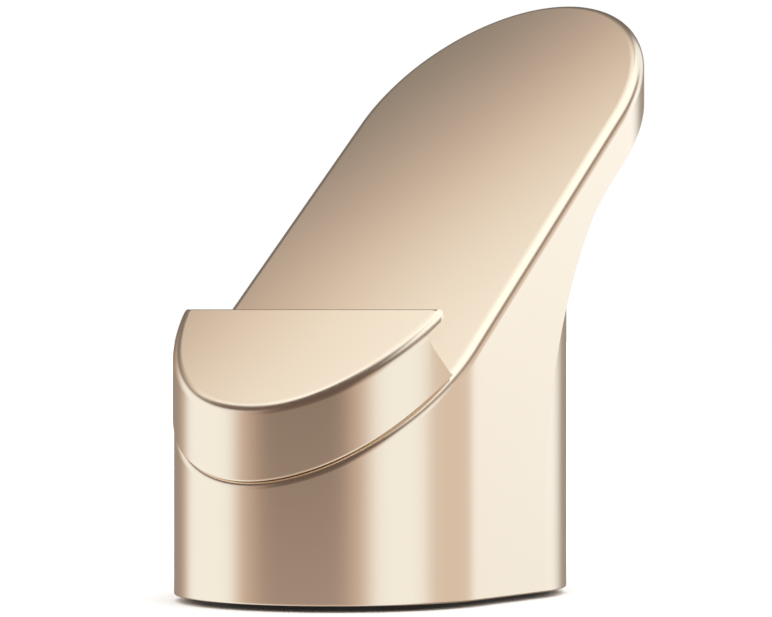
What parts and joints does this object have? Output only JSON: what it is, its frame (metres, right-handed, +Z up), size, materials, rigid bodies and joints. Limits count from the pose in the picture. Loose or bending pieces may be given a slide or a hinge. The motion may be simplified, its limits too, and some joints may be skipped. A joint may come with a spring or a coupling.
{
  "type": "blackhead vacuum extractor",
  "caption": "Palm-held pore vacuum: round-ended metal base, leaning tongue handle and a lift-off nozzle cap with a finger lip; pump, cell and board inside.",
  "frame": {"origin": "centre of the footprint of the whole object's box, on the surface that it stands on", "axes": "+Z up, X across the body, which is alike on both sides outside, and the tongue leans back towards +Y"},
  "size_m": [0.052, 0.0986, 0.0991],
  "materials": {
    "shell_metal": "satin champagne anodised",
    "foot_rubber": "matt black",
    "clear_tip": "clear, polished",
    "silicone": "translucent white, soft",
    "white_plastic": "fine moulded",
    "dark_plastic": "fine moulded",
    "steel": "plated",
    "brass": "machined",
    "copper": "lacquered windings and laminations",
    "ferrite": "sintered, dull",
    "foam": "open-cell foam",
    "cell_wrap": "metal can in a glossy blue shrink wrap",
    "board": "solder mask",
    "red_wire": "insulated lead",
    "black_wire": "insulated lead",
    "light_diffuser": "milky, polished",
    "light_chip": "light chips"
  },
  "bodies": {
    "housing": {"base_plate": "dark_plastic", "base_screw_1": "steel", "base_screw_2": "steel", "base_screw_3": "steel", "base_screw_4": "steel", "battery_cell": "cell_wrap", "battery_lead_left": "red_wire", "battery_lead_right": "red_wire", "battery_strap_left": "white_plastic", "battery_strap_right": "white_plastic", "body_shell": "shell_metal", "boost_coil": "dark_plastic", "cap_keeper_left": "steel", "cap_keeper_right": "steel", "charge_chip": "dark_plastic", "chassis": "white_plastic", "circuit_board": "board", "control_chip": "dark_plastic", "diaphragm": "foot_rubber", "exhaust_foam": "foam", "filter_grid": "white_plastic", "filter_sponge": "foam", "foot_pad": "foot_rubber", "light_guide": "light_diffuser", "motor_can": "steel", "motor_end_cap": "dark_plastic", "motor_lead": "black_wire", "motor_magnet_left": "ferrite", "motor_magnet_right": "ferrite", "motor_sleeve": "foot_rubber", "nozzle_housing": "white_plastic", "nozzle_screw_left": "steel", "nozzle_screw_right": "steel", "pump_head": "dark_plastic", "pump_housing": "dark_plastic", "pump_screw_1": "steel", "pump_screw_2": "steel", "pump_screw_3": "steel", "pump_screw_4": "steel", "status_light": "light_chip", "suction_tip": "clear_tip", "suction_tube": "silicone", "tact_switch": "dark_plastic", "tip_seal": "silicone", "usb_c_shell": "steel", "usb_c_tongue": "dark_plastic", "valve_flaps": "silicone", "valve_plate": "dark_plastic"},
    "cap": {"nozzle_cap": "shell_metal", "cap_magnet_left": "steel", "cap_magnet_right": "steel"},
    "rotor": {"motor_shaft": "steel", "armature": "copper", "crank_wheel": "brass", "crank_bearing": "steel"},
    "rod": {"connecting_rod": "white_plastic", "diaphragm_washer": "steel"},
    "button": {"power_button": "shell_metal"},
    "plunger": {"switch_plunger": "white_plastic"}
  },
  "joints": [
    {"name": "cap_lift", "type": "slide", "parent": "housing", "child": "cap", "axis": [0, -0.6381, 0.77], "range_m": [0, 0.03]},
    {"name": "shaft_spin", "type": "hinge", "parent": "housing", "child": "rotor", "pos_m": [0, -0.02307, 0.0176], "axis": [0, 1, 0], "continuous": true},
    {"name": "rod_stroke", "type": "slide", "parent": "housing", "child": "rod", "axis": [0, 0, 1], "range_m": [-0.0009, 0.0009], "stiffness_N_per_m": 300, "deforming": ["diaphragm"]},
    {"name": "button_press", "type": "slide", "parent": "housing", "child": "button", "axis": [0, -1, 0], "range_m": [0, 0.0005], "stiffness_N_per_m": 400, "springref_m": -0.0005},
    {"name": "plunger_press", "type": "slide", "parent": "housing", "child": "plunger", "axis": [0, -1, 0], "range_m": [0, 0.0005]}
  ],
  "couplings": [
    {"joint": "plunger_press", "follows": "button_press", "ratio": 1}
  ]
}
